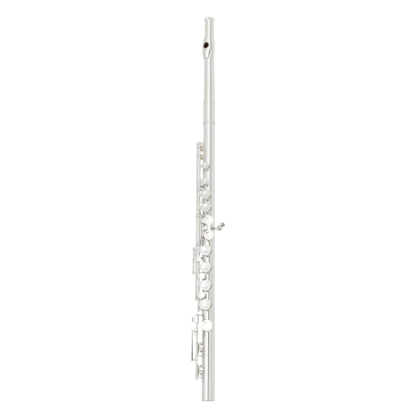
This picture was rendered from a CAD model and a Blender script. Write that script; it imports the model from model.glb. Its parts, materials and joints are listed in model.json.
"""Looks of the concert flute: silver plate, steel, skin-covered pads and cork, with floor, light and camera.

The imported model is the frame. The flute lies along Y with its foot's open end at the origin, its crown
towards +Y, its key cups towards +Z and its long rods on the -X side. Lengths are in metres.

The light isn't a plain soft studio: its levels were fitted by hand to the brightness in the reference
photograph. The floor is brighter to the camera than to the flute. The silver is painted dark in the bores.
"""
import json
from math import cos, pi, radians, sin

import bmesh
import bpy
import numpy as np
from mathutils import Matrix, Vector


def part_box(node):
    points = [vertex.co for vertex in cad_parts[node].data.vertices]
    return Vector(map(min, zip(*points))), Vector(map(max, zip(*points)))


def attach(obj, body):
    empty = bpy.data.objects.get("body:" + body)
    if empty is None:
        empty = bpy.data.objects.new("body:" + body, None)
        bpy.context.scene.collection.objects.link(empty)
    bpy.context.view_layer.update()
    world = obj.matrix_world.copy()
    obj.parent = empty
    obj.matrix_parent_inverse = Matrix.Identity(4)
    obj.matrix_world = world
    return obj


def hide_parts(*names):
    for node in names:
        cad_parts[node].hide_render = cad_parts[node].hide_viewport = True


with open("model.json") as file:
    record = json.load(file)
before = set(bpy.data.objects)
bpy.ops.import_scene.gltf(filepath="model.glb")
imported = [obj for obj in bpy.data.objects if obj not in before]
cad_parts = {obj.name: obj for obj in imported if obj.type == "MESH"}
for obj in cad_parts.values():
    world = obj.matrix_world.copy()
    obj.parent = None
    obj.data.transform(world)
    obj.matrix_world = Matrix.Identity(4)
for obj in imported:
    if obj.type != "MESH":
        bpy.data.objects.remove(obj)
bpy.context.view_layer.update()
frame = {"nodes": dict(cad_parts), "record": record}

nodes = frame["nodes"]

MM = 0.001
foot_end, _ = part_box("foot_tube")
_, crown_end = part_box("crown")
flute_length = crown_end.y - foot_end.y


# ---------------------------------------------------------------- shader helpers
# The shade painted in the bores: how near the tube's axis a surface lies, how far its normal points back
# towards that axis (place and normal multiplied together), and the colour it is given.
bore_reach = 0.0096
bore_facing = -0.0075
bore_colour = (0.55, 0.30, 0.18)


class Shader:
    """Small helper that adds nodes to a new material."""

    def __init__(self, name):
        self.material = bpy.data.materials.new(name)
        self.material.use_nodes = True
        self.tree = self.material.node_tree
        self.bsdf = self.tree.nodes["Principled BSDF"]
        self.coords = self.add("ShaderNodeTexCoord").outputs["Object"]

    def add(self, kind, **settings):
        node = self.tree.nodes.new(kind)
        for key, value in settings.items():
            setattr(node, key, value)
        return node

    def link(self, source, target):
        self.tree.links.new(source, target)

    def stretched(self, scale):
        mapping = self.add("ShaderNodeMapping")
        mapping.inputs["Scale"].default_value = scale
        self.link(self.coords, mapping.inputs["Vector"])
        return mapping.outputs["Vector"]

    def noise(self, scale, detail=3.0, roughness=0.5, stretch=None):
        node = self.add("ShaderNodeTexNoise")
        node.inputs["Scale"].default_value = scale
        node.inputs["Detail"].default_value = detail
        node.inputs["Roughness"].default_value = roughness
        self.link(self.stretched(stretch) if stretch else self.coords, node.inputs["Vector"])
        return node.outputs["Fac"]

    def ramp(self, source, stops):
        node = self.add("ShaderNodeValToRGB")
        elements = node.color_ramp.elements
        while len(elements) < len(stops):
            elements.new(0.5)
        for element, (place, colour) in zip(elements, stops):
            element.position = place
            element.color = (*colour, 1.0)
        self.link(source, node.inputs["Fac"])
        return node.outputs["Color"]

    def span(self, source, low, high, from_low=0.3, from_high=0.7):
        node = self.add("ShaderNodeMapRange")
        node.inputs["From Min"].default_value = from_low
        node.inputs["From Max"].default_value = from_high
        node.inputs["To Min"].default_value = low
        node.inputs["To Max"].default_value = high
        self.link(source, node.inputs["Value"])
        return node.outputs["Result"]

    def math(self, operation, first, second=None):
        node = self.add("ShaderNodeMath", operation=operation)
        for socket, value in zip(node.inputs, (first, second)):
            if isinstance(value, float):
                socket.default_value = value
            elif value is not None:
                self.link(value, socket)
        return node.outputs[0]

    def shaded_inside(self, colour):
        """Replace a colour with the bore's painted one where the surface faces the tube's axis from inside.

        Real silver keeps its colour in there. The paint stands for the dark brown seen through the holes.
        """
        place = self.add("ShaderNodeSeparateXYZ")
        self.link(self.coords, place.inputs[0])
        facing = self.add("ShaderNodeSeparateXYZ")
        self.link(self.add("ShaderNodeTexCoord").outputs["Normal"], facing.inputs[0])
        along_x = self.math("MULTIPLY", place.outputs["X"], facing.outputs["X"])
        along_z = self.math("MULTIPLY", place.outputs["Z"], facing.outputs["Z"])
        outward = self.math("ADD", along_x, along_z)
        x_squared = self.math("MULTIPLY", place.outputs["X"], place.outputs["X"])
        z_squared = self.math("MULTIPLY", place.outputs["Z"], place.outputs["Z"])
        across = self.math("POWER", self.math("ADD", x_squared, z_squared), 0.5)
        inward = self.math("LESS_THAN", outward, bore_facing)
        near = self.math("LESS_THAN", across, bore_reach)
        mix = self.add("ShaderNodeMix", data_type="RGBA")
        self.link(self.math("MULTIPLY", inward, near), mix.inputs["Factor"])
        self.link(colour, mix.inputs["A"])
        mix.inputs["B"].default_value = (*bore_colour, 1.0)
        return mix.outputs["Result"]

    def bump(self, height, strength, distance, base=None):
        node = self.add("ShaderNodeBump")
        node.inputs["Strength"].default_value = strength
        node.inputs["Distance"].default_value = distance
        self.link(height, node.inputs["Height"])
        if base is not None:
            self.link(base, node.inputs["Normal"])
        return node.outputs["Normal"]


# ---------------------------------------------------------------- materials
def silver_material(name, polish=0.09, tint=(0.86, 0.86, 0.85)):
    """Silver plate: clear reflections, faint handling haze, hairline marks, painted dark in the bores."""
    shader = Shader(name)
    bsdf = shader.bsdf
    bsdf.inputs["Metallic"].default_value = 1.0
    clouds = shader.noise(28.0, 4.0, 0.6)
    warm = (tint[0] * 0.985, tint[1] * 0.965, tint[2] * 0.92)
    colour = shader.ramp(clouds, [(0.35, warm), (0.62, tint)])
    shader.link(shader.shaded_inside(colour), bsdf.inputs["Base Color"])
    haze = shader.noise(60.0, 5.0, 0.65)
    shader.link(shader.span(haze, polish * 0.75, polish * 1.5), bsdf.inputs["Roughness"])
    hairlines = shader.noise(900.0, 2.0, 0.5, (1.0, 0.06, 1.0))
    waves = shader.noise(35.0, 2.0, 0.5)
    normal = shader.bump(waves, 0.05, 0.0004)
    shader.link(shader.bump(hairlines, 0.035, 0.00005, normal), bsdf.inputs["Normal"])
    return shader.material


def steel_material(name, tint, roughness):
    """Drawn and polished steel wire with fine rings from turning."""
    shader = Shader(name)
    bsdf = shader.bsdf
    bsdf.inputs["Metallic"].default_value = 1.0
    rings = shader.noise(700.0, 2.0, 0.5, (0.2, 1.0, 0.2))
    dark = tuple(value * 0.82 for value in tint)
    shader.link(shader.ramp(rings, [(0.3, dark), (0.7, tint)]), bsdf.inputs["Base Color"])
    shader.link(shader.span(rings, roughness * 0.8, roughness * 1.3), bsdf.inputs["Roughness"])
    shader.link(shader.bump(rings, 0.06, 0.00004), bsdf.inputs["Normal"])
    return shader.material


def pad_material(name):
    """Golden bladder skin drawn over felt: thin sheen, mottled colour and fine wrinkles."""
    shader = Shader(name)
    bsdf = shader.bsdf
    mottle = shader.noise(420.0, 5.0, 0.6)
    colour = shader.ramp(mottle, [(0.30, (0.60, 0.49, 0.17)), (0.52, (0.84, 0.73, 0.29)),
                                  (0.75, (0.91, 0.83, 0.42))])
    shader.link(colour, bsdf.inputs["Base Color"])
    shader.link(shader.span(mottle, 0.34, 0.55), bsdf.inputs["Roughness"])
    wrinkles = shader.noise(1500.0, 3.0, 0.6)
    shader.link(shader.bump(wrinkles, 0.25, 0.00006), bsdf.inputs["Normal"])
    bsdf.inputs["Subsurface Weight"].default_value = 0.06
    bsdf.inputs["Subsurface Scale"].default_value = 0.0006
    bsdf.inputs["Sheen Weight"].default_value = 0.15
    return shader.material


def cork_material(name):
    """Natural cork: cells, dark flecks and a dry surface."""
    shader = Shader(name)
    bsdf = shader.bsdf
    cells = shader.add("ShaderNodeTexVoronoi")
    cells.inputs["Scale"].default_value = 900.0
    shader.link(shader.coords, cells.inputs["Vector"])
    flecks = shader.noise(260.0, 6.0, 0.7)
    colour = shader.ramp(flecks, [(0.33, (0.16, 0.08, 0.035)), (0.45, (0.42, 0.26, 0.13)),
                                  (0.7, (0.60, 0.42, 0.24))])
    shader.link(colour, bsdf.inputs["Base Color"])
    bsdf.inputs["Roughness"].default_value = 0.85
    shader.link(shader.bump(cells.outputs["Distance"], 0.3, 0.0001), bsdf.inputs["Normal"])
    return shader.material


floor_glow = 0.3        # light the floor gives off where the camera sees it directly, and nowhere else


def floor_material():
    """White sheet that looks brighter to the camera than the light it gives the flute."""
    shader = Shader("studio_floor")
    bsdf = shader.bsdf
    bsdf.inputs["Base Color"].default_value = (0.92, 0.92, 0.92, 1.0)
    bsdf.inputs["Roughness"].default_value = 0.9
    bsdf.inputs["Specular IOR Level"].default_value = 0.0
    seen = shader.add("ShaderNodeLightPath").outputs["Is Camera Ray"]
    shader.link(shader.math("MULTIPLY", seen, floor_glow), bsdf.inputs["Emission Strength"])
    bsdf.inputs["Emission Color"].default_value = (1.0, 1.0, 1.0, 1.0)
    return shader.material


MATERIALS = {
    "silver_plate": silver_material("silver_plate"),
    "rod_steel": steel_material("rod_steel", (0.66, 0.66, 0.67), 0.22),
    "blued_steel": steel_material("blued_steel", (0.10, 0.13, 0.24), 0.28),
    "pad_skin": pad_material("pad_skin"),
    "cork": cork_material("cork"),
}
SLOTS = {entry["node"]: entry["material_slot"] for entry in frame["record"]["subparts"]}


def dress_cad_nodes():
    for name, node in nodes.items():
        material = MATERIALS[SLOTS[name]]
        if not node.material_slots:
            node.data.materials.append(material)
        for slot in node.material_slots:
            slot.material = material


dress_cad_nodes()


# ---------------------------------------------------------------- pads
def split_islands(mesh):
    """Vertex places of each separate solid in a mesh."""
    bm = bmesh.new()
    bm.from_mesh(mesh)
    bmesh.ops.remove_doubles(bm, verts=bm.verts, dist=1e-6)
    seen = set()
    islands = []
    for start in bm.verts:
        if start in seen:
            continue
        stack = [start]
        seen.add(start)
        island = []
        while stack:
            vert = stack.pop()
            island.append(np.array(vert.co))
            for edge in vert.link_edges:
                other = edge.other_vert(vert)
                if other not in seen:
                    seen.add(other)
                    stack.append(other)
        islands.append(np.array(island))
    bm.free()
    return islands


def disc_frame(points):
    """Centre, axis, radius and thickness of a plain disc from its vertices."""
    centre = (points.min(axis=0) + points.max(axis=0)) / 2
    offsets = points - centre
    _, _, rows = np.linalg.svd(offsets, full_matrices=False)
    axis = min(rows, key=lambda row: np.ptp(offsets @ row))
    along = offsets @ axis
    thickness = np.ptp(along)
    radius = np.linalg.norm(offsets - np.outer(along, axis), axis=1).max()
    outward = np.array([centre[0], 0.0, centre[2]])
    if axis @ outward > 0:
        axis = -axis
    return Vector(centre), Vector(axis), radius, thickness


pad_seat_inset = 0.75 * MM      # the tone hole's rim presses this far inside the pad's edge
pad_turns = 72
wrinkle_depth = 0.02 * MM       # three shallow waves round each pad's face
wrinkle_reach = 0.9             # as a share of the pad's radius
wrinkle_step = 0.7              # radians by which a node's second pad differs from its first
wrinkle_spread = 4000           # radians per metre of radius, so that pads of two sizes differ


def pad_profile(radius, thickness):
    """Half section from the back's centre round to the exposed face's centre; the face is at +Z."""
    face = thickness / 2
    back = -thickness / 2
    seat = radius - pad_seat_inset
    points = [(0.0, back), (radius * 0.6, back), (radius - 0.25 * MM, back), (radius, back + 0.3 * MM)]
    points += [(radius, face - 0.55 * MM), (radius - 0.06 * MM, face - 0.28 * MM)]
    points += [(radius - 0.2 * MM, face - 0.10 * MM), (radius - 0.38 * MM, face - 0.05 * MM)]
    points += [(seat + 0.16 * MM, face - 0.12 * MM), (seat, face - 0.22 * MM)]
    points += [(seat - 0.2 * MM, face - 0.16 * MM), (seat - 0.5 * MM, face - 0.05 * MM)]
    points += [(radius * 0.7, face - 0.01 * MM)]
    points += [(radius * 0.45, face - 0.02 * MM), (radius * 0.2, face - 0.04 * MM), (0.0, face - 0.05 * MM)]
    return points


def lathe(profile, turns):
    """Closed surface of revolution about Z from a section that starts and ends on the axis."""
    bm = bmesh.new()
    rings = []
    for radius, height in profile[1:-1]:
        ring = []
        for step in range(turns):
            angle = 2 * pi * step / turns
            ring.append(bm.verts.new((radius * cos(angle), radius * sin(angle), height)))
        rings.append(ring)
    first = bm.verts.new((0, 0, profile[0][1]))
    last = bm.verts.new((0, 0, profile[-1][1]))
    for step in range(turns):
        following = (step + 1) % turns
        bm.faces.new((first, rings[0][following], rings[0][step]))
        bm.faces.new((last, rings[-1][step], rings[-1][following]))
        for low, high in zip(rings, rings[1:]):
            bm.faces.new((low[step], low[following], high[following], high[step]))
    bmesh.ops.recalc_face_normals(bm, faces=bm.faces)
    return bm


def pad_piece(node_name, body, index, points):
    """One pad in place of its plain CAD disc, riding on its key."""
    centre, axis, radius, thickness = disc_frame(points)
    bm = lathe(pad_profile(radius, thickness), pad_turns)
    phase = index * wrinkle_step + radius * wrinkle_spread
    for vert in bm.verts:
        flat = (vert.co.x**2 + vert.co.y**2) ** 0.5
        if vert.co.z > 0 and flat < radius * wrinkle_reach:
            angle = np.arctan2(vert.co.y, vert.co.x)
            vert.co.z -= wrinkle_depth * (1 + sin(3 * angle + phase)) * flat / radius
    mesh = bpy.data.meshes.new(f"{node_name}_skin_{index}")
    bm.to_mesh(mesh)
    bm.free()
    mesh.shade_smooth()
    piece = bpy.data.objects.new(f"{node_name}_skin_{index}", mesh)
    bpy.context.scene.collection.objects.link(piece)
    turn = Vector((0, 0, 1)).rotation_difference(axis).to_matrix().to_4x4()
    mesh.transform(Matrix.Translation(centre) @ turn)
    mesh.materials.append(MATERIALS["pad_skin"])
    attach(piece, body)
    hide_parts(node_name)


BODIES = frame["record"]["behaviour"]["bodies"]
BODY_OF = {node: body for body, members in BODIES.items() for node in members}


def make_pads():
    for name in sorted(nodes):
        if SLOTS[name] != "pad_skin":
            continue
        for index, points in enumerate(split_islands(nodes[name].data)):
            pad_piece(name, BODY_OF[name], index, points)


make_pads()


# ---------------------------------------------------------------- floor and light
def add_object(name, data):
    item = bpy.data.objects.new(name, data)
    bpy.context.scene.collection.objects.link(item)
    return item


floor_drop = 0.30       # from the tube's axis down to the floor
floor_size = 12.0


def make_floor():
    mesh = bpy.data.meshes.new("floor")
    bm = bmesh.new()
    bmesh.ops.create_grid(bm, x_segments=4, y_segments=4, size=floor_size / 2)
    bm.to_mesh(mesh)
    bm.free()
    floor = add_object("floor", mesh)
    floor.location = (0.0, flute_length / 2, -floor_drop)
    mesh.materials.append(floor_material())


# Brightness of the surroundings by bearing about the tube, in degrees from straight up towards +X, fitted to
# the bands seen on the tube in the reference photograph: first what lies over the foot and body, then what
# lies beyond the head.
NEAR_LEVELS = [
    (-180.0, (0.72, 0.72, 0.71)),
    (-107.0, (0.58, 0.59, 0.57)),
    (-77.0, (0.62, 0.63, 0.61)),
    (-61.0, (0.90, 0.90, 0.91)),
    (-38.0, (0.97, 0.97, 0.99)),
    (-32.0, (1.06, 1.06, 1.08)),
    (-23.0, (1.20, 1.20, 1.21)),
    (12.0, (1.20, 1.20, 1.20)),
    (26.0, (0.98, 0.98, 0.97)),
    (39.0, (0.88, 0.88, 0.85)),
    (60.0, (0.72, 0.73, 0.68)),
    (90.0, (0.78, 0.78, 0.74)),
    (180.0, (0.78, 0.78, 0.75)),
]
FAR_LEVELS = [
    (-180.0, (0.76, 0.76, 0.75)),
    (-75.0, (0.74, 0.75, 0.73)),
    (-45.0, (0.77, 0.78, 0.76)),
    (-23.0, (0.88, 0.88, 0.88)),
    (-9.0, (1.12, 1.12, 1.12)),
    (17.0, (1.10, 1.10, 1.10)),
    (32.0, (0.62, 0.62, 0.63)),
    (60.0, (0.62, 0.62, 0.63)),
    (77.0, (0.88, 0.89, 0.87)),
    (180.0, (0.90, 0.90, 0.88)),
]
far_begins = (0.282, 0.296)      # along +Y, as a share of a unit direction
# A narrow dark strip, which gives the dark line on the foot joint. It leans: its bearing grows with the
# share along +Y.
BOOM_LEVELS = [
    (-180.0, (1.0, 1.0, 1.0)),
    (-7.5, (1.0, 1.0, 1.0)),
    (-6.5, (0.01, 0.01, 0.02)),
    (6.5, (0.01, 0.01, 0.02)),
    (7.5, (1.0, 1.0, 1.0)),
    (180.0, (1.0, 1.0, 1.0)),
]
boom_bearing = 6.0       # degrees from straight up towards +X, square to the tube
boom_lean = 65.0         # degrees by which that grows over a whole unit along +Y


def make_world():
    """Surroundings whose brightness changes round the tube, and from the foot's half to the head's."""
    world = bpy.data.worlds.new("studio")
    bpy.context.scene.world = world
    world.use_nodes = True
    tree = world.node_tree

    def ramp(levels, source):
        node = tree.nodes.new("ShaderNodeValToRGB")
        elements = node.color_ramp.elements
        while len(elements) < len(levels):
            elements.new(0.5)
        for element, (degrees_right, level) in zip(elements, levels):
            element.position = 0.5 + degrees_right / 360
            element.color = (*level, 1.0)
        tree.links.new(source, node.inputs["Fac"])
        return node.outputs["Color"]

    def share(source, low, high):
        node = tree.nodes.new("ShaderNodeMapRange")
        node.inputs["From Min"].default_value = low
        node.inputs["From Max"].default_value = high
        tree.links.new(source, node.inputs["Value"])
        return node.outputs["Result"]

    def mix(first, second, factor, blend):
        node = tree.nodes.new("ShaderNodeMix")
        node.data_type = "RGBA"
        node.blend_type = blend
        if isinstance(factor, float):
            node.inputs["Factor"].default_value = factor
        else:
            tree.links.new(factor, node.inputs["Factor"])
        tree.links.new(first, node.inputs["A"])
        tree.links.new(second, node.inputs["B"])
        return node.outputs["Result"]

    coords = tree.nodes.new("ShaderNodeTexCoord")
    split = tree.nodes.new("ShaderNodeSeparateXYZ")
    tree.links.new(coords.outputs["Generated"], split.inputs["Vector"])
    bearing = tree.nodes.new("ShaderNodeMath")
    bearing.operation = "ARCTAN2"
    tree.links.new(split.outputs["X"], bearing.inputs[0])
    tree.links.new(split.outputs["Z"], bearing.inputs[1])
    round_share = share(bearing.outputs[0], -pi, pi)
    leaned = tree.nodes.new("ShaderNodeMath")
    leaned.operation = "MULTIPLY_ADD"
    leaned.inputs[1].default_value = -radians(boom_lean)
    tree.links.new(split.outputs["Y"], leaned.inputs[0])
    tree.links.new(bearing.outputs[0], leaned.inputs[2])
    middle = radians(boom_bearing)
    boom = ramp(BOOM_LEVELS, share(leaned.outputs[0], middle - pi, middle + pi))
    near = mix(ramp(NEAR_LEVELS, round_share), boom, 1.0, "MULTIPLY")
    colour = mix(near, ramp(FAR_LEVELS, round_share), share(split.outputs["Y"], *far_begins), "MIX")
    tree.links.new(colour, tree.nodes["Background"].inputs["Color"])


make_world()
make_floor()


# ---------------------------------------------------------------- camera
view_side = -12.0        # degrees about the tube from +Z towards -X, so the camera is swung towards +X
view_tilt = 18.3         # degrees towards the foot
view_roll = 0.2          # degrees
view_aim = (-0.0014, 0.306, 0.0)
view_distance = 1.117
lens_mm = 58.7
sensor_mm = 36.0
view_depth = 50.0        # how far the camera sees


def around(angle):
    """Direction square to the tube at an angle from +Z towards -X."""
    return Vector((-sin(radians(angle)), 0.0, cos(radians(angle))))


def make_camera():
    """Camera tilted towards the foot and swung towards +X, with the flute upright in the frame."""
    aim = Vector(view_aim)
    roll = radians(view_roll)
    upright = around(view_side)
    back = cos(radians(view_tilt)) * upright + sin(radians(view_tilt)) * Vector((0.0, -1.0, 0.0))
    right = Vector((0.0, 1.0, 0.0)).cross(upright)
    up = back.cross(right)
    data = bpy.data.cameras.new("camera")
    data.sensor_width = sensor_mm
    data.lens = lens_mm
    data.clip_end = view_depth
    camera = add_object("camera", data)
    turn = Matrix((right, up, back)).transposed().to_4x4()
    place = Matrix.Translation(aim + back * view_distance)
    camera.matrix_world = place @ turn @ Matrix.Rotation(roll, 4, "Z")
    bpy.context.scene.camera = camera


make_camera()
bpy.context.scene.view_settings.view_transform = "Standard"
